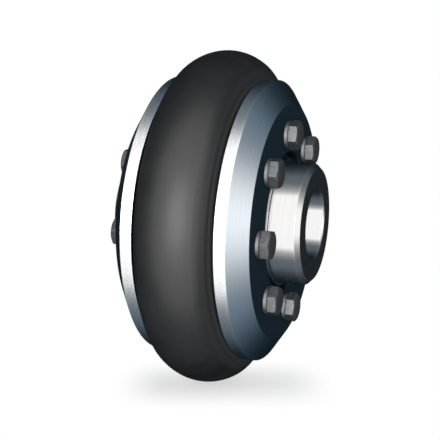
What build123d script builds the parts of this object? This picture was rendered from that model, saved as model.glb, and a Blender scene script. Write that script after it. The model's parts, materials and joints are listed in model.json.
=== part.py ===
from build123d import *
import os
from math import cos, radians, sin, tan

# A flexible shaft coupling: a rubber tyre, clamped at both beads by bevelled rings bolted to two hubs.
# Sizes are in millimetres. The shaft axis is X, +Z is up, and the origin is the centre of the tyre.
# Both halves are alike. Turned pieces are drawn for the right half, and turned half round +Z for the left.

# Along the shaft, from the centre outwards
HUB_GAP = 20.0
FLANGE_THICKNESS = 7.0
SEAT_HEIGHT = 13.0
RING_THICKNESS = 13.4
CONE_LENGTH = 9.9
RIM_WIDTH = 7.3
REGISTER_LENGTH = 7.5
COLLAR_SETBACK = 0.2
BARREL_LENGTH = 19.6

# Across the shaft, from the bore outwards
BORE_RADIUS = 22.5
BARREL_WALL = 17.0
COLLAR_STEP = 2.2
COLLAR_GROOVE = 4.6
REGISTER_CLEARANCE = 0.1
INNER_LAND = 2.35
OUTER_LAND = 10.15
SEAT_WALL = 2.2
CONE_WIDTH = 15.0
RIM_WALL = 4.0
FLANGE_INSET = 4.0

# Tyre: its crown above the rims, its wall, and its beads
SHOULDER_RISE = 2.0
SHOULDER_GAP = 3.6
CROWN_HEIGHT = 16.0
CROWN_ANGLE = 36.0
TYRE_WALL = 9.0
LIP_SETBACK = 1.0
NIP_CLEARANCE = 0.1
BEAD_TIP_CLEARANCE = 0.4
FLANGE_RIM_CLEARANCE = 1.0

# Broken edges
FLANGE_CHAMFER = 1.5
BARREL_CHAMFER = 3.0
BORE_CHAMFER = 0.8

# Hexagon head screws
BOLT_COUNT = 8
BOLT_RADIUS = 5.0
BOLT_LENGTH = 30.0
BOLT_HOLE_CLEARANCE = 0.5
THREAD_CLEARANCE = 0.05
HEAD_SIDES = 6
HEAD_ACROSS_FLATS = 17.0
HEAD_HEIGHT = 6.4
HEAD_TOP_RATIO = 0.95
HEAD_CHAMFER_ANGLE = 30.0
HEAD_TURN = 15.0

# Split lock washers, whose splits have stopped at a different angle under each screw
WASHER_RADIUS = 9.05
WASHER_THICKNESS = 2.2
WASHER_CLEARANCE = 0.1
SPLIT_WIDTH = 1.2
SPLIT_SLANT = 20.0
SPLIT_FIRST_ANGLE = -60.0
SPLIT_STEP = 17.0

FULL_TURN = 360.0

# Stations along the shaft
hub_inner_x = HUB_GAP / 2
flange_x = hub_inner_x + FLANGE_THICKNESS
seat_x = flange_x + SEAT_HEIGHT
face_x = seat_x + RING_THICKNESS
rim_outer_x = face_x - CONE_LENGTH
rim_inner_x = rim_outer_x - RIM_WIDTH
register_end_x = seat_x + REGISTER_LENGTH
collar_end_x = face_x - COLLAR_SETBACK
hub_end_x = face_x + BARREL_LENGTH
head_x = face_x + WASHER_THICKNESS

# Radii about the shaft
barrel_radius = BORE_RADIUS + BARREL_WALL
collar_radius = barrel_radius + COLLAR_STEP
register_radius = collar_radius + COLLAR_GROOVE
ring_bore_radius = register_radius + REGISTER_CLEARANCE
bolt_circle_radius = ring_bore_radius + INNER_LAND + WASHER_RADIUS
seat_radius = bolt_circle_radius + BOLT_RADIUS + SEAT_WALL
face_radius = bolt_circle_radius + WASHER_RADIUS + OUTER_LAND
rim_radius = face_radius + CONE_WIDTH
clamp_radius = rim_radius - RIM_WALL
flange_radius = clamp_radius - FLANGE_INSET


def turned(outline):
    """Turns a closed outline, drawn as distance along the shaft and radius, about the shaft axis."""
    section = Plane.XZ * make_face(outline)
    return revolve(section, Axis.X)


def both_sides(right_piece):
    """The right-hand piece, and the same piece turned half round for the left."""
    return {"right": right_piece, "left": right_piece.rotate(Axis.Z, FULL_TURN / 2)}


def bead_face_x(radius):
    """Place along the shaft of a bead's outer face, which lies just inside the ring's clamping cone."""
    clamp_slope = (seat_x - rim_inner_x) / (clamp_radius - seat_radius)
    return rim_inner_x + (clamp_radius - radius) * clamp_slope - NIP_CLEARANCE


def make_tyre():
    """Rubber ring of U section with a wedge-shaped bead at the end of each side wall."""
    shoulder_radius = rim_radius + SHOULDER_RISE
    half_width = rim_inner_x - SHOULDER_GAP
    inner_half_width = half_width - TYRE_WALL
    inner_top_radius = shoulder_radius + CROWN_HEIGHT - TYRE_WALL
    lip_radius = clamp_radius - LIP_SETBACK
    tip_radius = seat_radius + BEAD_TIP_CLEARANCE
    heel_radius = flange_radius + FLANGE_RIM_CLEARANCE
    heel_top_radius = heel_radius + flange_x - inner_half_width

    # The outside is an oval: a broad crown arc that runs into a tighter shoulder arc
    crown_cos = cos(radians(CROWN_ANGLE))
    crown_sin = sin(radians(CROWN_ANGLE))
    centre_spread = (half_width - CROWN_HEIGHT) / (crown_cos + crown_sin - 1)
    crown_curve = CROWN_HEIGHT + centre_spread * crown_cos
    shoulder_curve = half_width - centre_spread * crown_sin

    lip = (bead_face_x(lip_radius), lip_radius)
    tip_outer = (bead_face_x(tip_radius), tip_radius)
    tip_inner = (flange_x, tip_radius)
    heel = (flange_x, heel_radius)
    heel_top = (inner_half_width, heel_top_radius)
    inner_shoulder = (inner_half_width, shoulder_radius)

    crown = JernArc((0, shoulder_radius + CROWN_HEIGHT), (1, 0), crown_curve, -CROWN_ANGLE)
    shoulder = JernArc(crown @ 1, crown % 1, shoulder_curve, CROWN_ANGLE - FULL_TURN / 4)
    flare = TangentArc(shoulder @ 1, lip, tangent=shoulder % 1)
    bead = Polyline(lip, tip_outer, tip_inner, heel, heel_top, inner_shoulder)
    side = crown + shoulder + flare + bead
    cavity = ThreePointArc(inner_shoulder, (0, inner_top_radius), (-inner_half_width, shoulder_radius))
    return turned(side + cavity + mirror(side, about=Plane.YZ))


def bolt_angles():
    """Angles of the bolts about the shaft axis."""
    return [index * FULL_TURN / BOLT_COUNT for index in range(BOLT_COUNT)]


def bolt_holes(radius, start_x, end_x):
    """One cylinder for each bolt, along the shaft axis between two stations."""
    drill = extrude(Plane.YZ.offset(start_x) * Pos(bolt_circle_radius, 0) * Circle(radius), end_x - start_x)
    return [drill.rotate(Axis.X, angle) for angle in bolt_angles()]


def make_hub():
    """Turned hub: clamping flange, bolted seat, register, collar and bored barrel."""
    outline = Polyline(
        (hub_inner_x, BORE_RADIUS),
        (hub_inner_x, flange_radius),
        (flange_x - FLANGE_CHAMFER, flange_radius),
        (flange_x, flange_radius - FLANGE_CHAMFER),
        (flange_x, seat_radius),
        (seat_x, seat_radius),
        (seat_x, register_radius),
        (register_end_x, register_radius),
        (register_end_x, collar_radius),
        (collar_end_x, collar_radius),
        (collar_end_x, barrel_radius),
        (hub_end_x - BARREL_CHAMFER, barrel_radius),
        (hub_end_x, barrel_radius - BARREL_CHAMFER),
        (hub_end_x, BORE_RADIUS + BORE_CHAMFER),
        (hub_end_x - BORE_CHAMFER, BORE_RADIUS),
        close=True,
    )
    return turned(outline) - bolt_holes(BOLT_RADIUS + THREAD_CLEARANCE, hub_inner_x, seat_x)


def make_clamp_ring():
    """Bevelled ring: bolted inside its flat face, and hollowed behind its rim to grip the bead."""
    outline = Polyline(
        (seat_x, ring_bore_radius),
        (face_x, ring_bore_radius),
        (face_x, face_radius),
        (rim_outer_x, rim_radius),
        (rim_inner_x, rim_radius),
        (rim_inner_x, clamp_radius),
        (seat_x, seat_radius),
        close=True,
    )
    return turned(outline) - bolt_holes(BOLT_RADIUS + BOLT_HOLE_CLEARANCE, seat_x, face_x)


def make_bolt():
    """Hexagon head screw along +Z, with its bearing face at the origin."""
    flat_radius = HEAD_ACROSS_FLATS / 2
    corner_radius = flat_radius / cos(radians(FULL_TURN / HEAD_SIDES / 2))
    top_radius = HEAD_TOP_RATIO * flat_radius
    chamfer_drop = (corner_radius - top_radius) * tan(radians(HEAD_CHAMFER_ANGLE))
    envelope = Polyline(
        (0, 0),
        (corner_radius, 0),
        (corner_radius, HEAD_HEIGHT - chamfer_drop),
        (top_radius, HEAD_HEIGHT),
        (0, HEAD_HEIGHT),
        close=True,
    )
    hexagon = extrude(RegularPolygon(corner_radius, HEAD_SIDES), HEAD_HEIGHT)
    head = hexagon & revolve(Plane.XZ * make_face(envelope), Axis.Z)
    shank = extrude(Circle(BOLT_RADIUS), -BOLT_LENGTH)
    return head + shank


def make_lock_washer():
    """Split washer along +Z, lying on the origin, with its slanted cut towards +X."""
    blank = extrude(Circle(WASHER_RADIUS) - Circle(BOLT_RADIUS + WASHER_CLEARANCE), WASHER_THICKNESS)
    cut_length = 2 * WASHER_RADIUS
    cut_depth = 2 * WASHER_THICKNESS
    cut = Box(cut_length, SPLIT_WIDTH, cut_depth, align=(Align.MIN, Align.CENTER, Align.CENTER))
    return blank - Pos(0, 0, WASHER_THICKNESS / 2) * Rot(SPLIT_SLANT, 0, 0) * cut


def on_bolt_circle(piece, side, station, angle, turn):
    """Stands a piece on the bolt circle, pointing outwards, with its own X turned from the shaft's +Y."""
    place = Plane(
        origin=(
            side * station,
            bolt_circle_radius * cos(radians(angle)),
            bolt_circle_radius * sin(radians(angle)),
        ),
        x_dir=(0, cos(radians(turn)), sin(radians(turn))),
        z_dir=(side, 0, 0),
    )
    return place * piece


def make_fasteners():
    """Every screw and lock washer, by name."""
    bolt = make_bolt()
    washer = make_lock_washer()
    pieces = {}
    for side_name, side in (("right", 1), ("left", -1)):
        for index, angle in enumerate(bolt_angles()):
            name = f"{side_name}_{index + 1}"
            head_angle = angle + HEAD_TURN
            split_angle = SPLIT_FIRST_ANGLE + index * SPLIT_STEP
            pieces[f"bolt_{name}"] = on_bolt_circle(bolt, side, head_x, angle, head_angle)
            pieces[f"lock_washer_{name}"] = on_bolt_circle(washer, side, face_x, angle, split_angle)
    return pieces


def make_coupling():
    """All pieces of the coupling, by name."""
    pieces = {"tyre": make_tyre()}
    for side_name, hub in both_sides(make_hub()).items():
        pieces[f"hub_{side_name}"] = hub
    for side_name, ring in both_sides(make_clamp_ring()).items():
        pieces[f"clamp_ring_{side_name}"] = ring
    pieces.update(make_fasteners())
    return pieces


os.makedirs("parts", exist_ok=True)
for name, piece in make_coupling().items():
    export_step(piece, f"parts/{name}.step")
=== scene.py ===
"""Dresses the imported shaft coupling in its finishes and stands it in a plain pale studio."""

import json
import logging
import math
from abc import ABC, abstractmethod
from dataclasses import dataclass
from enum import Enum
from typing import Any, Callable, Iterable, Optional, Sequence, Union

import bpy
from mathutils import Matrix, Vector

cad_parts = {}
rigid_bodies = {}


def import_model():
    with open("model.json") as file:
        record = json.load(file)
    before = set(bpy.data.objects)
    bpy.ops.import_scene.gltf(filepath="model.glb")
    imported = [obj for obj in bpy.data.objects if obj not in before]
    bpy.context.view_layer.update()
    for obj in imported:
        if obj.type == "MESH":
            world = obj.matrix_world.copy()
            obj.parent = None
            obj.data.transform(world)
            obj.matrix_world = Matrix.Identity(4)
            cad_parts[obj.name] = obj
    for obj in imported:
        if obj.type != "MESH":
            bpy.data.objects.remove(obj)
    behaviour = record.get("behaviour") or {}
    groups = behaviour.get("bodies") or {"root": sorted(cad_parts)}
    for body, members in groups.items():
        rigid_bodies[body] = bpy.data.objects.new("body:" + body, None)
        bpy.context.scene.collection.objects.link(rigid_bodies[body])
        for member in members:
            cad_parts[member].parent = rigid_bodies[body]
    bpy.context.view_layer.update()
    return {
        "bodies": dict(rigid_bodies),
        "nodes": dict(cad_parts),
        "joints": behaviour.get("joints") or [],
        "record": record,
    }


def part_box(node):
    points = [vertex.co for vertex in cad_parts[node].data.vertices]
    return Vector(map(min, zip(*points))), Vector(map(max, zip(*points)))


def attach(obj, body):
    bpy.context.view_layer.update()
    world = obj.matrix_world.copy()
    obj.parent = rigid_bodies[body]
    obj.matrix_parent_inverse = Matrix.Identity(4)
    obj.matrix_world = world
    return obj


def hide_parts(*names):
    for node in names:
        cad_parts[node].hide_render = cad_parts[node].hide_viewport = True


LOG = logging.getLogger("coupling")

MM = 0.001
FULL_TURN = 2 * math.pi

Colour = tuple[float, float, float]
Point = tuple[float, float, float]
Span = tuple[float, float]

WHITE: Colour = (1.0, 1.0, 1.0)

# Samples of the two nodes that feel for what lies round a point
BEVEL_SAMPLES = 6
OPENNESS_SAMPLES = 12

# Ambient occlusion at which a place counts as deep in a corner, and as open
OPEN_SPAN: Span = (0.3, 0.7)

# Sockets of a Mix node that mixes colours, which share their names with others
MIX_FACTOR = 0
MIX_FIRST = 6
MIX_SECOND = 7
MIX_RESULT = 2

# Points in each circle of the floor and the tent
STUDIO_COLUMNS = 96


class Side(Enum):
    """The two halves of the coupling, by the way their outer faces look along the shaft."""

    LEFT = -1
    RIGHT = 1

    @property
    def word(self) -> str:
        """The side as it stands in the names of the pieces."""
        return self.name.lower()


class Ray(Enum):
    """Kinds of ray that meet a surface, by their outputs on a Light Path node."""

    CAMERA = "Is Camera Ray"
    GLOSSY = "Is Glossy Ray"
    TRANSMISSION = "Is Transmission Ray"


class Signal:
    """One number that flows through a material, written as plain arithmetic."""

    def __init__(self, graph: "ShaderGraph", socket: bpy.types.NodeSocket) -> None:
        """Wraps the output socket, in a material's graph, that carries the number."""
        self.graph = graph
        self.socket = socket

    def maths(self, operation: str, *others: Union["Signal", float]) -> "Signal":
        """The result of a Math node on this number and those that follow it."""
        return self.graph.maths(operation, self, *others)

    def __add__(self, other: Union["Signal", float]) -> "Signal":
        """This number plus another."""
        return self.graph.maths("ADD", self, other)

    def __radd__(self, other: float) -> "Signal":
        """Another number plus this one."""
        return self.graph.maths("ADD", other, self)

    def __sub__(self, other: Union["Signal", float]) -> "Signal":
        """This number less another."""
        return self.graph.maths("SUBTRACT", self, other)

    def __rsub__(self, other: float) -> "Signal":
        """Another number less this one."""
        return self.graph.maths("SUBTRACT", other, self)

    def __mul__(self, other: Union["Signal", float]) -> "Signal":
        """This number times another."""
        return self.graph.maths("MULTIPLY", self, other)

    def __rmul__(self, other: float) -> "Signal":
        """Another number times this one."""
        return self.graph.maths("MULTIPLY", other, self)

    def __pow__(self, other: float) -> "Signal":
        """This number to a power."""
        return self.graph.maths("POWER", self, other)

    def spread(self, low: float, high: float, to_low: float = 0.0, to_high: float = 1.0) -> "Signal":
        """This number moved smoothly from one range to another, and held at its ends.

        Args:
            low: The number that becomes to_low.
            high: The number that becomes to_high.
            to_low: The result at low.
            to_high: The result at high.

        Returns:
            The number in its new range.
        """
        node = self.graph.node(
            "ShaderNodeMapRange",
            {"interpolation_type": "SMOOTHSTEP"},
            {"Value": self, "From Min": low, "From Max": high, "To Min": to_low, "To Max": to_high},
        )
        return Signal(self.graph, node.outputs["Result"])


SocketValue = Union[Signal, bpy.types.NodeSocket, float, Sequence[float]]


@dataclass(frozen=True)
class Pattern:
    """A noise pattern: its features for each metre, its finer layers, and how strong they are."""

    scale: float
    layers: float
    strength: float = 0.5


class ShaderGraph:
    """The nodes of one material or of the world."""

    def __init__(self, owner: Union[bpy.types.Material, bpy.types.World]) -> None:
        """Empties the owner's node tree.

        Args:
            owner: The material or world whose nodes are made.
        """
        owner.use_nodes = True
        self.tree = owner.node_tree
        self.tree.nodes.clear()

    def node(
        self,
        kind: str,
        settings: Optional[dict[str, Any]] = None,
        inputs: Optional[dict[Union[str, int], SocketValue]] = None,
    ) -> bpy.types.Node:
        """Adds one node, sets it up and feeds its sockets.

        Args:
            kind: The node's type.
            settings: The node's own settings, and "stops" for the stops of a ramp.
            inputs: A value or a link for each socket, by name or number.

        Returns:
            The new node.
        """
        made = self.tree.nodes.new(kind)
        for name, value in (settings or {}).items():
            if name == "stops":
                self._set_stops(made, value)
            else:
                setattr(made, name, value)
        for name, value in (inputs or {}).items():
            self.feed(made.inputs[name], value)
        return made

    @staticmethod
    def _set_stops(ramp: bpy.types.Node, stops: Sequence[tuple[float, Colour]]) -> None:
        """Gives a colour ramp its stops.

        Args:
            ramp: The ramp's node.
            stops: Places from 0 to 1, each with its colour.
        """
        elements = ramp.color_ramp.elements
        while len(elements) < len(stops):
            elements.new(0.5)
        for element, (place, colour) in zip(elements, stops):
            element.position = place
            element.color = (*colour, 1.0)

    def feed(self, socket: bpy.types.NodeSocket, value: SocketValue) -> None:
        """Links a socket, or sets it.

        Args:
            socket: The input to feed.
            value: A signal, an output socket, a number, a colour or a vector.
        """
        if isinstance(value, Signal):
            self.tree.links.new(value.socket, socket)
        elif isinstance(value, bpy.types.NodeSocket):
            self.tree.links.new(value, socket)
        elif socket.type == "RGBA" and len(value) == 3:
            socket.default_value = (*value, 1.0)
        else:
            socket.default_value = value

    def maths(self, operation: str, *operands: Union[Signal, float]) -> Signal:
        """The result of a Math node on signals and numbers, in their order."""
        made = self.node("ShaderNodeMath", {"operation": operation}, dict(enumerate(operands)))
        return Signal(self, made.outputs[0])

    def vector_maths(self, operation: str, inputs: dict[Union[str, int], SocketValue]) -> bpy.types.NodeSocket:
        """The result of a Vector Math node that works out a vector or a colour."""
        return self.node("ShaderNodeVectorMath", {"operation": operation}, inputs).outputs["Vector"]

    def blend_colours(self, factor: SocketValue, first: SocketValue, second: SocketValue) -> bpy.types.NodeSocket:
        """Mixes two colours.

        Args:
            factor: 0 for the first colour, 1 for the second.
            first: A colour or a link.
            second: A colour or a link.

        Returns:
            The mixed colour.
        """
        made = self.node(
            "ShaderNodeMix",
            {"data_type": "RGBA", "clamp_factor": True},
            {MIX_FACTOR: factor, MIX_FIRST: first, MIX_SECOND: second},
        )
        return made.outputs[MIX_RESULT]

    def noise(self, place: Union[Signal, bpy.types.NodeSocket], pattern: Pattern) -> Signal:
        """A noise pattern of numbers about one half.

        Args:
            place: A place in space, or a distance for a pattern that only changes along it, in metres.
            pattern: The noise.

        Returns:
            The pattern's numbers.
        """
        dimensions, socket = ("1D", "W") if isinstance(place, Signal) else ("3D", "Vector")
        made = self.node(
            "ShaderNodeTexNoise",
            {"noise_dimensions": dimensions},
            {socket: place, "Scale": pattern.scale, "Detail": pattern.layers, "Roughness": pattern.strength},
        )
        return Signal(self, made.outputs["Fac"])

    def split(self, vector: SocketValue) -> list[Signal]:
        """The X, Y and Z of a vector."""
        parts = self.node("ShaderNodeSeparateXYZ", None, {"Vector": vector})
        return [Signal(self, parts.outputs[axis]) for axis in "XYZ"]

    def object_place(self) -> bpy.types.NodeSocket:
        """The place on the piece, in metres."""
        return self.node("ShaderNodeTexCoord").outputs["Object"]

    def shaft_place(self) -> tuple[Signal, Signal]:
        """Distance from the middle along the shaft, and distance from the shaft's axis, in metres."""
        along, side, up = self.split(self.object_place())
        return along.maths("ABSOLUTE"), (side * side + up * up) ** 0.5

    def shaft_lean(self) -> Signal:
        """How far the surface looks along the shaft, either way, from 0 to 1."""
        normal = self.node("ShaderNodeNewGeometry").outputs["True Normal"]
        return self.split(normal)[0].maths("ABSOLUTE")

    def rounded_normal(self, radius: float) -> bpy.types.NodeSocket:
        """The surface's normal, with every edge eased to a small radius, in metres."""
        return self.node("ShaderNodeBevel", {"samples": BEVEL_SAMPLES}, {"Radius": radius}).outputs["Normal"]

    def openness(self, reach: float) -> Signal:
        """How open the surface lies to neighbours within a reach in metres: 0 deep in a corner, 1 in the open."""
        made = self.node("ShaderNodeAmbientOcclusion", {"samples": OPENNESS_SAMPLES}, {"Distance": reach})
        return Signal(self, made.outputs["AO"]).spread(*OPEN_SPAN)

    def relief(self, height: Signal, depth: float, normal: Optional[SocketValue] = None) -> bpy.types.NodeSocket:
        """Turns a pattern of heights into small relief.

        Args:
            height: The pattern, from 0 to 1.
            depth: Height of the relief, in metres.
            normal: The normal that it stands on.

        Returns:
            The new normal.
        """
        inputs: dict[Union[str, int], SocketValue] = {"Height": height, "Distance": depth, "Strength": 1.0}
        if normal is not None:
            inputs["Normal"] = normal
        return self.node("ShaderNodeBump", None, inputs).outputs["Normal"]

    def met_by(self, *rays: Ray) -> Signal:
        """Whether the ray that meets the surface is of given kinds.

        Args:
            rays: The kinds of ray that count.

        Returns:
            1 for those rays, and 0 for others.
        """
        outputs = self.node("ShaderNodeLightPath").outputs
        first, *others = (Signal(self, outputs[ray.value]) for ray in rays)
        return sum(others, first).maths("MINIMUM", 1.0)

    def surface(self, **inputs: SocketValue) -> None:
        """Ends the material in one Principled shader.

        Args:
            inputs: The shader's sockets, with an underscore for each space in a name.
        """
        named = {name.replace("_", " "): value for name, value in inputs.items()}
        shader = self.node("ShaderNodeBsdfPrincipled", None, named)
        self.finish(shader.outputs[0])

    def finish(self, shader: bpy.types.NodeSocket) -> None:
        """Links the last shader to the output.

        Args:
            shader: The shader's output.
        """
        is_world = isinstance(self.tree.id_data, bpy.types.World)
        kind = "ShaderNodeOutputWorld" if is_world else "ShaderNodeOutputMaterial"
        self.node(kind, None, {"Surface": shader})


class Finish(ABC):
    """A surface finish that makes its own material."""

    name: str

    def material(self) -> bpy.types.Material:
        """The finish as a material, made once.

        Returns:
            The material.
        """
        found = bpy.data.materials.get(self.name)
        if found is None:
            found = bpy.data.materials.new(self.name)
            self.draw(ShaderGraph(found))
        return found

    @abstractmethod
    def draw(self, graph: ShaderGraph) -> None:
        """Adds the finish's nodes.

        Args:
            graph: The material's empty graph.
        """


@dataclass(frozen=True)
class MouldedRubber(Finish):
    """Satin black rubber, as it leaves a polished mould, with its flanks painted paler as painted light.

    Deep in a crease, where its neighbours would hide the room from it, its reflection is painted out as painted
    shade.
    """

    name: str = "moulded_rubber"
    dark: Colour = (0.006, 0.006, 0.0061)
    pale: Colour = (0.012, 0.012, 0.0122)
    flank_painted_light: Colour = (0.021, 0.021, 0.0212)
    flank_span: Span = (0.85, 1.0)
    roughness: float = 0.42
    specular: float = 0.65
    bloom: Pattern = Pattern(28.0, 4.0, 0.6)
    bloom_span: Span = (0.35, 0.7)
    bloom_roughness: float = 0.12
    grain: Pattern = Pattern(2600.0, 3.0, 0.6)
    grain_roughness: float = 0.06
    grain_depth: float = 0.012 * MM
    mould_lines: Pattern = Pattern(1400.0, 3.0)
    mould_line_share: float = 0.3
    corner_reach: float = 8.0 * MM
    corner_roughness: float = 0.5
    crease_shade_span: Span = (0.68, 1.0)

    def draw(self, graph: ShaderGraph) -> None:
        """Adds the rubber's nodes.

        Args:
            graph: The material's empty graph.
        """
        place = graph.object_place()
        along, _ = graph.shaft_place()
        bloom = graph.noise(place, self.bloom)
        grain = graph.noise(place, self.grain)
        mould_lines = graph.noise(along, self.mould_lines)
        # Painted light: the flanks, which look along the shaft, are painted paler than the rest of the rubber.
        flank = graph.shaft_lean().spread(*self.flank_span)
        corner = 1 - graph.openness(self.corner_reach)
        # Painted shade: deep in a crease the rubber is made near-black metal, so that it hardly reflects.
        crease = corner.spread(*self.crease_shade_span)
        clean = graph.blend_colours(bloom.spread(*self.bloom_span), self.dark, self.pale)
        graph.surface(
            # Painted light on the flanks, taken off again in the creases.
            Base_Color=graph.blend_colours(flank * (1 - crease), clean, self.flank_painted_light),
            # Painted shade in the creases.
            Metallic=crease,
            Roughness=(
                self.roughness
                + self.corner_roughness * corner
                + self.bloom_roughness * (bloom - 0.5)
                + self.grain_roughness * (grain - 0.5)
            ),
            Specular_IOR_Level=self.specular,
            Normal=graph.relief(
                grain * (1 - self.mould_line_share) + mould_lines * self.mould_line_share, self.grain_depth
            ),
        )


@dataclass(frozen=True)
class TurnedSteel(Finish):
    """Steel turned on a lathe and polished, with fine turning marks round the shaft.

    Where groove_lean isn't 0, the marks also lean the normals of the sides along the shaft, so that a narrow side
    blurs what it mirrors in that direction alone, as brushed metal does.
    """

    name: str
    # Painted shade and painted reflection: the steep faces and ends are painted darker than the sides, and on the
    # rings bluer.
    side_colour: Colour
    end_shade_colour: Colour
    side_roughness: float
    cone_roughness: float
    end_roughness: float
    metallic: float = 1.0
    groove_lean: float = 0.0
    wear: float = 0.95
    mark_pitch: float = 0.22 * MM
    mark_depth: float = 0.0003 * MM
    bands: Pattern = Pattern(900.0, 3.0)
    band_span: Span = (0.3, 0.7)
    band_roughness: float = 0.05
    smudges: Pattern = Pattern(30.0, 4.0, 0.6)
    smudge_roughness: float = 0.06
    edge_radius: float = 0.4 * MM
    corner_reach: float = 8.0 * MM
    # Painted shade: the colour the steel is darkened to deep in corners, where less light reaches.
    corner_shade_colour: Colour = (0.03, 0.035, 0.04)
    side_span: Span = (0.1, 0.3)
    cone_span: Span = (0.72, 0.82)
    end_span: Span = (0.86, 0.97)

    def draw(self, graph: ShaderGraph) -> None:
        """Adds the steel's nodes.

        Args:
            graph: The material's empty graph.
        """
        place = graph.object_place()
        along, out = graph.shaft_place()
        feed = out - along
        wave = (feed * (FULL_TURN / self.mark_pitch)).maths("SINE")
        marks = wave * 0.5 + 0.5
        bands = graph.noise(feed, self.bands)
        smudges = graph.noise(place, self.smudges)
        lean = graph.shaft_lean()
        steep = lean.spread(*self.cone_span)
        square = lean.spread(*self.end_span)
        # Painted shade and painted reflection: steep faces and ends take the darker end colour.
        clean = graph.blend_colours(steep, self.side_colour, self.end_shade_colour)
        worn = graph.vector_maths("SCALE", {0: clean, "Scale": self.wear})
        bright = graph.blend_colours(bands.spread(*self.band_span), worn, clean)
        normal = graph.rounded_normal(self.edge_radius)
        if self.groove_lean:
            normal = self.grooved_normal(graph, normal, wave * (1 - lean.spread(*self.side_span)))
        graph.surface(
            # Painted shade: the steel darkens deep in corners, by ambient occlusion.
            Base_Color=graph.blend_colours(graph.openness(self.corner_reach), self.corner_shade_colour, bright),
            Metallic=self.metallic,
            Roughness=(
                self.side_roughness
                + (self.cone_roughness - self.side_roughness) * steep
                + (self.end_roughness - self.cone_roughness) * square
                + self.band_roughness * (bands - 0.5)
                + self.smudge_roughness * (smudges - 0.5)
            ),
            Normal=graph.relief(marks * 0.5 + bands * 0.5, self.mark_depth, normal),
        )

    def grooved_normal(
        self, graph: ShaderGraph, normal: bpy.types.NodeSocket, groove: Signal
    ) -> bpy.types.NodeSocket:
        """Leans a normal to and fro along the shaft.

        Args:
            graph: The material's graph.
            normal: The normal to lean.
            groove: How the marks lean, from -1 to 1.

        Returns:
            The leaning normal.
        """
        slope = graph.node("ShaderNodeCombineXYZ", None, {"X": groove * self.groove_lean})
        leaning = graph.vector_maths("ADD", {0: normal, 1: slope.outputs[0]})
        return graph.vector_maths("NORMALIZE", {0: leaning})


@dataclass(frozen=True)
class PlatedSteel(Finish):
    """Dull grey plating on small hardware, a little uneven and scuffed."""

    name: str
    colour: Colour
    shade: Colour
    roughness: float
    edge_radius: float = 0.25 * MM
    mottle: Pattern = Pattern(450.0, 4.0, 0.6)
    mottle_span: Span = (0.35, 0.65)
    mottle_roughness: float = 0.14
    grain: Pattern = Pattern(3200.0, 3.0, 0.6)
    grain_roughness: float = 0.08
    grain_depth: float = 0.006 * MM

    def draw(self, graph: ShaderGraph) -> None:
        """Adds the plating's nodes.

        Args:
            graph: The material's empty graph.
        """
        place = graph.object_place()
        mottle = graph.noise(place, self.mottle)
        grain = graph.noise(place, self.grain)
        graph.surface(
            Base_Color=graph.blend_colours(mottle.spread(*self.mottle_span), self.shade, self.colour),
            Metallic=1.0,
            Roughness=(
                self.roughness + self.mottle_roughness * (mottle - 0.5) + self.grain_roughness * (grain - 0.5)
            ),
            Normal=graph.relief(grain, self.grain_depth, graph.rounded_normal(self.edge_radius)),
        )


RUBBER = MouldedRubber()
RING_STEEL = TurnedSteel(
    "turned_ring_steel",
    side_colour=(0.97, 0.98, 0.985),
    end_shade_colour=(0.74, 0.83, 0.91),
    side_roughness=0.2,
    cone_roughness=0.18,
    end_roughness=0.17,
    groove_lean=0.4,
)
HUB_STEEL = TurnedSteel(
    "turned_hub_steel",
    side_colour=(0.553, 0.548, 0.545),
    end_shade_colour=(0.52, 0.5, 0.49),
    side_roughness=0.09,
    cone_roughness=0.14,
    end_roughness=0.16,
    metallic=0.957,
)
SCREW_STEEL = PlatedSteel(
    "plated_screw_steel", colour=(0.155, 0.161, 0.164), shade=(0.117, 0.122, 0.126), roughness=0.5
)
WASHER_STEEL = PlatedSteel(
    "plated_spring_steel", colour=(0.205, 0.21, 0.212), shade=(0.16, 0.165, 0.167), roughness=0.45
)


def dress(piece: bpy.types.Object, finish: Finish) -> None:
    """Gives a piece one finish all over.

    Args:
        piece: The object to dress.
        finish: Its finish.
    """
    piece.data.materials.clear()
    piece.data.materials.append(finish.material())
    piece.visible_glossy = False


def carried_piece(frame: dict[str, Any], name: str, finish: Finish) -> None:
    """Dresses a piece of the frame whose shape is already right, by the name of its node."""
    dress(frame["nodes"][name], finish)
    LOG.info("%s dressed as %s", name, finish.name)


def new_object(name: str, data: bpy.types.ID) -> bpy.types.Object:
    """Makes an object and puts it in the scene.

    Args:
        name: The object's name.
        data: Its mesh, light or camera.

    Returns:
        The object.
    """
    made = bpy.data.objects.new(name, data)
    bpy.context.scene.collection.objects.link(made)
    return made


def direction(azimuth: float, elevation: float) -> Vector:
    """The unit vector at an azimuth from the front and an elevation over the horizon, both in radians."""
    level = math.cos(elevation)
    return Vector((math.sin(azimuth) * level, -math.cos(azimuth) * level, math.sin(elevation)))


def polar(radius: float, angle: float, height: float) -> Point:
    """A point at a distance and an angle about the Z axis, and at a height."""
    return radius * math.cos(angle), radius * math.sin(angle), height


def smooth_mesh(
    name: str, points: Sequence[Point], faces: Sequence[tuple[int, ...]], crease: float
) -> bpy.types.Mesh:
    """A mesh that is smooth apart from its creases.

    Args:
        name: The mesh's name.
        points: Its points.
        faces: The points of each face, by number.
        crease: Angle between faces that makes an edge sharp, in radians.

    Returns:
        The mesh.
    """
    made = bpy.data.meshes.new(name)
    made.from_pydata(points, [], faces)
    made.validate()
    made.polygons.foreach_set("use_smooth", [True] * len(made.polygons))
    made.set_sharp_from_angle(angle=crease)
    made.update()
    return made


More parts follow.
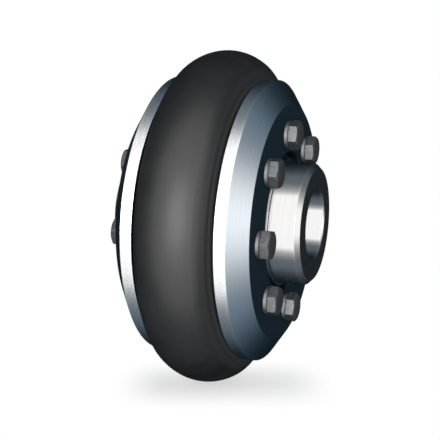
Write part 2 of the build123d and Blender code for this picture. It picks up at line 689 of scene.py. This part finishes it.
class GridMesh:
    """A mesh of rows of points that close round an axis."""

    def __init__(self, columns: int) -> None:
        """Starts an empty mesh.

        Args:
            columns: Points in each row.
        """
        self.columns = columns
        self.points: list[Point] = []
        self.faces: list[tuple[int, ...]] = []

    def row(self, points: Iterable[Point]) -> int:
        """Adds a row of points.

        Args:
            points: One point for each column.

        Returns:
            The number of the row's first point.
        """
        start = len(self.points)
        self.points.extend(points)
        return start

    def ring(self, radius: Callable[[float], float], height: Callable[[float], float]) -> int:
        """Adds a row round the Z axis, by its radius at each angle and height at each radius, and gives its start."""
        angles = [FULL_TURN * column / self.columns for column in range(self.columns)]
        return self.row(polar(radius(angle), angle, height(radius(angle))) for angle in angles)

    def circle(self, radius: float, height: float) -> int:
        """Adds a row at one radius and one height, in metres, and gives its start."""
        return self.ring(lambda angle: radius, lambda far: height)

    def close(self, first: int, second: int) -> None:
        """Joins two rows all the way round.

        Args:
            first: The first row's start.
            second: The second row's start.
        """
        for column in range(self.columns):
            after = (column + 1) % self.columns
            self.faces.append((first + column, first + after, second + after, second + column))

    def cap(self, row: int, centre: Point, flip: bool = False) -> None:
        """Closes a row with a fan.

        Args:
            row: The row's start.
            centre: The fan's middle.
            flip: Whether the fan looks the other way.
        """
        middle = len(self.points)
        self.points.append(centre)
        for column in range(self.columns):
            after = (column + 1) % self.columns
            fan = (row + column, row + after, middle)
            self.faces.append(fan[::-1] if flip else fan)

    def mesh(self, name: str, crease: float) -> bpy.types.Mesh:
        """The finished mesh, smooth apart from edges that turn by more than the crease, in radians."""
        return smooth_mesh(name, self.points, self.faces, crease)


@dataclass
class BoltCircle:
    """The circle that the screws and washers stand on, as the frame gives it."""

    count: int = 8
    crease: float = math.radians(30)

    def node_name(self, kind: str, side: Side, number: int) -> str:
        """The frame's name of one bolt or lock_washer, numbered from 1 on its half."""
        return f"{kind}_{side.word}_{number}"

    def stand(
        self, name: str, mesh: bpy.types.Mesh, node: str, side: Side, station: float, turn: float
    ) -> bpy.types.Object:
        """Puts a fastener where its node is, and lets it replace the node.

        Args:
            name: The new piece's name.
            mesh: The fastener's mesh, standing on the origin along +Z.
            node: The node that it replaces.
            side: The half that it is on.
            station: Place of its foot along the shaft, in metres.
            turn: Angle of its own X from the row's +Y, about the shaft.

        Returns:
            The new piece.
        """
        low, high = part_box(node)
        middle = (low + high) / 2
        outward = Vector((side.value, 0, 0))
        across = Vector((0, math.cos(turn), math.sin(turn)))
        axes = Matrix((across, outward.cross(across), outward)).transposed().to_4x4()
        piece = new_object(name, mesh)
        piece.matrix_world = Matrix.Translation((station, middle.y, middle.z)) @ axes
        piece.visible_glossy = False
        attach(piece, "root")
        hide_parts(node)
        return piece


@dataclass
class Screws(BoltCircle):
    """Hexagon head screws with a bearing face, a chamfered head and a rolled thread."""

    across_flats: float = 17.0 * MM
    head_height: float = 6.4 * MM
    head_turn: float = math.radians(15)
    top_ratio: float = 0.95
    chamfer_slope: float = math.tan(math.radians(30))
    washer_face_ratio: float = 0.93
    washer_face_height: float = 0.4 * MM
    edge: float = 0.22 * MM
    corner_radius: float = 0.5 * MM
    shank_radius: float = 5.0 * MM
    pitch: float = 1.5 * MM
    thread_depth: float = 0.86 * MM
    plain_length: float = 4.0 * MM
    columns: int = 96
    steps_for_pitch: int = 6

    def hexagon(self, angle: float) -> float:
        """Distance from the axis to the hexagon, with its corners eased.

        Args:
            angle: Direction from the axis, in radians.

        Returns:
            The distance, in metres.
        """
        sixth = FULL_TURN / 6
        off = (angle % sixth) - sixth / 2
        flat = self.across_flats / 2
        edge = flat / math.cos(sixth / 2 - abs(off))
        corner = flat / math.cos(sixth / 2)
        return min(edge, corner - self.corner_radius * (1 / math.cos(sixth / 2) - 1))

    def head_mesh(self, grid: GridMesh) -> int:
        """Adds the head, from its top to the foot of its bearing face.

        Args:
            grid: The mesh that takes the head.

        Returns:
            The last row, round the bearing face.
        """
        edge, foot = self.edge, self.washer_face_height
        top = self.top_ratio * self.across_flats / 2
        bearing = self.washer_face_ratio * self.across_flats / 2

        def cone(far: float) -> float:
            """Height of the head's chamfer."""
            return self.head_height - max(far - top, 0) * self.chamfer_slope

        rows = [
            grid.circle(top - edge, self.head_height),
            grid.ring(lambda angle: min(top + edge, self.hexagon(angle) - edge / 2), cone),
            grid.ring(lambda angle: self.hexagon(angle) - edge / 2, cone),
            grid.ring(self.hexagon, lambda far: cone(far) - edge),
            grid.ring(self.hexagon, lambda far: foot + edge),
            grid.ring(lambda angle: self.hexagon(angle) - edge, lambda far: foot),
            grid.circle(bearing, foot),
            grid.circle(bearing, 0.0),
        ]
        grid.cap(rows[0], (0, 0, self.head_height))
        for above, below in zip(rows, rows[1:]):
            grid.close(below, above)
        return rows[-1]

    def shank_point(self, share: float, depth: float, length: float) -> Point:
        """One point of the shank, on its plain neck or on its thread, which fades at the tip.

        Args:
            share: Place round the shank, from 0 to 1.
            depth: Distance below the head, in metres.
            length: Length of the shank, in metres.

        Returns:
            The point.
        """
        fade_in = min(max((depth - self.plain_length) / self.pitch, 0), 1)
        tip = max(depth - (length - self.pitch), 0)
        turn = (depth / self.pitch - share) % 1
        groove = abs(2 * turn - 1) * self.thread_depth * fade_in
        return polar(self.shank_radius - max(groove, tip), FULL_TURN * share, -depth)

    def shank_mesh(self, grid: GridMesh, last: int, length: float) -> None:
        """Adds the shank: a plain neck, then a helical thread.

        Args:
            grid: The mesh that takes the shank.
            last: The row that the shank starts from.
            length: Length of the shank, in metres.
        """
        step = self.pitch / self.steps_for_pitch
        shares = [column / self.columns for column in range(self.columns)]
        for index in range(round(length / step) + 1):
            row = grid.row([self.shank_point(share, index * step, length) for share in shares])
            grid.close(row, last)
            last = row
        grid.cap(last, (0, 0, -length), flip=True)

    def build(self) -> None:
        """Makes every screw, and puts each in its node's place."""
        low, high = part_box(self.node_name("bolt", Side.RIGHT, 1))
        grid = GridMesh(self.columns)
        bearing_row = self.head_mesh(grid)
        self.shank_mesh(grid, bearing_row, high.x - low.x - self.head_height)
        mesh = grid.mesh("screw", self.crease)
        mesh.materials.append(SCREW_STEEL.material())
        for side in Side:
            for number in range(1, self.count + 1):
                node = self.node_name("bolt", side, number)
                turn = FULL_TURN * (number - 1) / self.count + self.head_turn
                station = side.value * (high.x - self.head_height)
                piece = self.stand(f"screw_{side.word}_{number}", mesh, node, side, station, turn)
                LOG.info("%s built, %d points", piece.name, len(mesh.vertices))


@dataclass
class LockWashers(BoltCircle):
    """Split spring washers, pressed flat under the screw heads, with eased edges and a slanted cut."""

    bore_radius: float = 5.1 * MM
    edge: float = 0.25 * MM
    split_width: float = 1.2 * MM
    split_slant: float = math.radians(20)
    split_first: float = math.radians(-60)
    split_step: float = math.radians(17)
    steps: int = 96

    def section(self, outer: float, thickness: float) -> list[tuple[float, float]]:
        """The wire's section, with its four corners eased.

        Args:
            outer: The washer's outer radius, in metres.
            thickness: The washer's thickness, in metres.

        Returns:
            Radius and height of each corner, in order.
        """
        inner, edge = self.bore_radius, self.edge
        return [
            (outer - edge, 0),
            (outer, edge),
            (outer, thickness - edge),
            (outer - edge, thickness),
            (inner + edge, thickness),
            (inner, thickness - edge),
            (inner, edge),
            (inner + edge, 0),
        ]

    def washer_mesh(self, outer: float, thickness: float) -> bpy.types.Mesh:
        """Sweeps the section round the screw, from one side of the cut to the other.

        Args:
            outer: The washer's outer radius, in metres.
            thickness: The washer's thickness, in metres.

        Returns:
            The washer's mesh, lying on the origin.
        """
        section = self.section(outer, thickness)
        size = len(section)
        points: list[Point] = []
        faces: list[tuple[int, ...]] = []
        for step in range(self.steps + 1):
            share = step / self.steps
            for far, height in section:
                lean = (height - thickness / 2) * math.tan(self.split_slant)
                start = self.split_width / 2 / far
                angle = start + share * (FULL_TURN - 2 * start) - lean / far
                points.append(polar(far, angle, height))
        for step in range(self.steps):
            base = step * size
            for index in range(size):
                after = (index + 1) % size
                faces.append((base + index, base + size + index, base + size + after, base + after))
        faces.append(tuple(range(size)))
        faces.append(tuple(self.steps * size + index for index in reversed(range(size))))
        return smooth_mesh("lock_washer", points, faces, self.crease)

    def build(self) -> None:
        """Makes every washer, and puts each in its node's place."""
        low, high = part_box(self.node_name("lock_washer", Side.RIGHT, 1))
        mesh = self.washer_mesh((high.y - low.y) / 2, high.x - low.x)
        mesh.materials.append(WASHER_STEEL.material())
        for side in Side:
            for number in range(1, self.count + 1):
                node = self.node_name("lock_washer", side, number)
                turn = self.split_first + (number - 1) * self.split_step
                station = side.value * low.x
                piece = self.stand(f"spring_washer_{side.word}_{number}", mesh, node, side, station, turn)
                LOG.info("%s built, %d points", piece.name, len(mesh.vertices))


@dataclass
class TurnedPieces:
    """The tyre, the clamp rings and the hubs, whose shapes the frame already holds."""

    frame: dict[str, Any]

    def build(self) -> None:
        """Dresses each piece."""
        carried_piece(self.frame, "tyre", RUBBER)
        for side in Side:
            carried_piece(self.frame, f"clamp_ring_{side.word}", RING_STEEL)
            carried_piece(self.frame, f"hub_{side.word}", HUB_STEEL)


@dataclass(frozen=True)
class Lamp:
    """A soft lamp that looks at the coupling.

    Its angles are in degrees, with azimuth 0 in front, its lengths in metres, and it looks white at a radiance of 1.
    """

    name: str
    azimuth: float
    elevation: float
    distance: float
    width: float
    height: float
    radiance: float
    mirrored: bool = True

    def hang(self) -> None:
        """Makes the lamp and puts it in its place."""
        data = bpy.data.lights.new(self.name, "AREA")
        data.shape = "RECTANGLE"
        data.size, data.size_y = self.width, self.height
        data.energy = self.radiance * math.pi * self.width * self.height
        back = direction(math.radians(self.azimuth), math.radians(self.elevation))
        axes = back.to_track_quat("Z", "Y").to_matrix().to_4x4()
        lamp = new_object(self.name, data)
        lamp.matrix_world = Matrix.Translation(back * self.distance) @ axes
        lamp.visible_glossy = self.mirrored


@dataclass
class Studio:
    """A plain pale floor, soft lamps, a graded tent that only reflections see, and the camera."""

    azimuth: float = math.radians(19.966)
    elevation: float = math.radians(14.303)
    distance: float = 0.724
    lens: float = 88.6
    sensor: float = 36.0
    aim_right: float = -2.61 * MM
    aim_up: float = -2.345 * MM
    fill: float = 0.3
    floor_drop: float = 0.3 * MM
    floor_radius: float = 3.0
    floor_colour: Colour = (0.79, 0.79, 0.82)
    floor_glow: float = 0.25
    shadow_middle: Point = (8 * MM, -21.5 * MM, 0.0)
    shadow_reach: Point = (0.077, 0.0455, 1.0)
    shadow_core: float = 0.5
    shadow_depth: float = 0.55
    lamps: tuple[Lamp, ...] = (
        Lamp("front_lamp", 15.0, 12.0, 1.1, 0.76, 0.66, 3.9),
        Lamp("rear_right_lamp", 129.0, -6.0, 1.2, 0.3, 0.3, 0.9),
        Lamp("rear_left_lamp", -118.0, 5.0, 1.2, 0.25, 0.3, 0.22),
        Lamp("top_lamp", -130.0, 81.0, 1.2, 0.7, 0.7, 1.7, mirrored=False),
    )
    tent_rows: int = 48
    tent_radius: float = 2.6
    tent_strength: float = 1.74
    # The tent's shades, each at its angle from the camera's side, in degrees
    tent_shades: tuple[tuple[float, Colour], ...] = (
        (180.0, (0.0017, 0.0035, 0.0047)),
        (158.0, (0.0023, 0.0051, 0.007)),
        (143.0, (0.0046, 0.008, 0.011)),
        (128.0, (0.0103, 0.019, 0.0255)),
        (115.0, (0.033, 0.047, 0.058)),
        (97.0, (0.09, 0.116, 0.139)),
        (84.0, (0.107, 0.126, 0.143)),
        (77.0, (0.185, 0.19, 0.195)),
        (73.0, (0.265, 0.27, 0.275)),
        (69.0, (0.36, 0.36, 0.365)),
        (65.0, (0.53, 0.53, 0.53)),
        (58.5, WHITE),
    )
    window_azimuth: float = math.radians(96)
    window_elevation: float = math.radians(-2.2)
    window_colour: Colour = (1.08, 1.01, 0.95)
    window_focus: float = 16.0
    window_light: float = 0.525

    def build(self) -> None:
        """Makes the whole studio."""
        self.set_world()
        self.lay_floor()
        for lamp in self.lamps:
            lamp.hang()
        self.raise_tent()
        self.stand_camera()
        bpy.context.scene.view_settings.view_transform = "Standard"
        LOG.info("studio ready, %d lamps", len(self.lamps))

    def stand_camera(self) -> None:
        """Puts the camera at the photograph's viewing angle."""
        right = Vector((math.cos(self.azimuth), math.sin(self.azimuth), 0))
        back = direction(self.azimuth, self.elevation)
        up = back.cross(right)
        place = right * self.aim_right + up * self.aim_up + back * self.distance
        lens = bpy.data.cameras.new("camera")
        lens.lens = self.lens
        lens.sensor_width = self.sensor
        camera = new_object("camera", lens)
        axes = Matrix((right, up, back)).transposed().to_4x4()
        camera.matrix_world = Matrix.Translation(place) @ axes
        bpy.context.scene.camera = camera

    def set_world(self) -> None:
        """White where the camera, metal and glass look, and a soft fill elsewhere."""
        world = bpy.data.worlds.new("studio")
        bpy.context.scene.world = world
        graph = ShaderGraph(world)
        seen = graph.met_by(Ray.CAMERA, Ray.GLOSSY, Ray.TRANSMISSION)
        strength = seen * (1 - self.fill) + self.fill
        shader = graph.node("ShaderNodeBackground", None, {"Color": WHITE, "Strength": strength})
        graph.finish(shader.outputs[0])

    def lay_floor(self) -> None:
        """A pale round floor that takes the shadow and fades into the background."""
        grid = GridMesh(STUDIO_COLUMNS)
        grid.cap(grid.circle(self.floor_radius, 0.0), (0, 0, 0))
        floor = new_object("floor", grid.mesh("floor", math.pi))
        floor.location.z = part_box("tyre")[0].z - self.floor_drop
        material = bpy.data.materials.new("pale_floor")
        graph = ShaderGraph(material)
        matt = graph.node("ShaderNodeBsdfDiffuse", None, {"Color": self.floor_colour})
        glow = graph.node("ShaderNodeEmission", None, {"Color": WHITE, "Strength": self.floor_glow})
        pale = graph.node("ShaderNodeAddShader", None, {0: matt.outputs[0], 1: glow.outputs[0]})
        white = graph.node("ShaderNodeEmission", None, {"Color": WHITE, "Strength": 1.0})
        fade = (1 - self.shadow_mask(graph)) * graph.met_by(Ray.CAMERA, Ray.GLOSSY)
        mixed = graph.node("ShaderNodeMixShader", None, {0: fade, 1: pale.outputs[0], 2: white.outputs[0]})
        graph.finish(mixed.outputs[0])
        floor.data.materials.append(material)
        floor.visible_glossy = False

    def shadow_mask(self, graph: ShaderGraph) -> Signal:
        """Where the floor shows the coupling's shadow.

        Args:
            graph: The floor's graph.

        Returns:
            The mask, which falls to 0 round the coupling.
        """
        shrunk = graph.node(
            "ShaderNodeMapping",
            {"vector_type": "TEXTURE"},
            {
                "Vector": graph.object_place(),
                "Location": self.shadow_middle,
                "Rotation": (0.0, 0.0, self.azimuth),
                "Scale": self.shadow_reach,
            },
        )
        across, deep = (axis.maths("ABSOLUTE") for axis in graph.split(shrunk.outputs[0])[:2])
        core = across.spread(self.shadow_core, 1.0, self.shadow_depth, 0.0)
        return core * deep.spread(0.0, 1.0, 1.0, 0.0)

    def raise_tent(self) -> None:
        """A round tent that only reflections see: white in front, dark blue behind, with a window at the right."""
        radius = self.tent_radius
        grid = GridMesh(STUDIO_COLUMNS)
        tilts = [math.pi * ((row + 1) / (self.tent_rows + 1)) for row in range(self.tent_rows)]
        levels = [grid.circle(radius * math.sin(tilt), -radius * math.cos(tilt)) for tilt in tilts]
        for below, above in zip(levels, levels[1:]):
            grid.close(below, above)
        grid.cap(levels[-1], (0, 0, radius))
        grid.cap(levels[0], (0, 0, -radius), flip=True)
        tent = new_object("tent", grid.mesh("tent", math.pi))
        material = bpy.data.materials.new("graded_tent")
        graph = ShaderGraph(material)
        way = graph.vector_maths("NORMALIZE", {0: graph.object_place()})
        share = self.likeness(graph, way, self.azimuth, self.elevation) * 0.5 + 0.5
        shades = graph.node("ShaderNodeValToRGB", {"stops": self.tent_stops()}, {0: share}).outputs[0]
        sideways = self.likeness(graph, way, self.window_azimuth, self.window_elevation).maths("MAXIMUM", 0.0)
        window = sideways**self.window_focus * self.window_light
        light = graph.blend_colours(window, shades, self.window_colour)
        glow = graph.node("ShaderNodeEmission", None, {"Color": light, "Strength": self.tent_strength})
        graph.finish(glow.outputs[0])
        tent.data.materials.append(material)
        tent.visible_camera = False
        tent.visible_diffuse = False
        tent.visible_shadow = False
        tent.visible_transmission = False
        tent.visible_volume_scatter = False

    def likeness(
        self, graph: ShaderGraph, way: bpy.types.NodeSocket, azimuth: float, elevation: float
    ) -> Signal:
        """How near a direction lies to a given one, from -1 to 1.

        Args:
            graph: The graph that takes the nodes.
            way: The direction to compare.
            azimuth: The given direction's angle about the vertical, in radians.
            elevation: Its angle over the horizon, in radians.

        Returns:
            The cosine of the angle between them.
        """
        inputs = {0: way, 1: direction(azimuth, elevation)}
        made = graph.node("ShaderNodeVectorMath", {"operation": "DOT_PRODUCT"}, inputs)
        return Signal(graph, made.outputs["Value"])

    def tent_stops(self) -> list[tuple[float, Colour]]:
        """The tent's shades, each at its place on the ramp, from 0 behind to 1 at the camera's side."""
        return [((math.cos(math.radians(angle)) + 1) / 2, colour) for angle, colour in self.tent_shades]


def main() -> None:
    """Loads the frame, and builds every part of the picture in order."""
    logging.basicConfig(level=logging.INFO, format="%(name)s: %(message)s")
    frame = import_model()
    for part in (TurnedPieces(frame), Screws(), LockWashers(), Studio()):
        part.build()


if __name__ == "__main__":
    main()
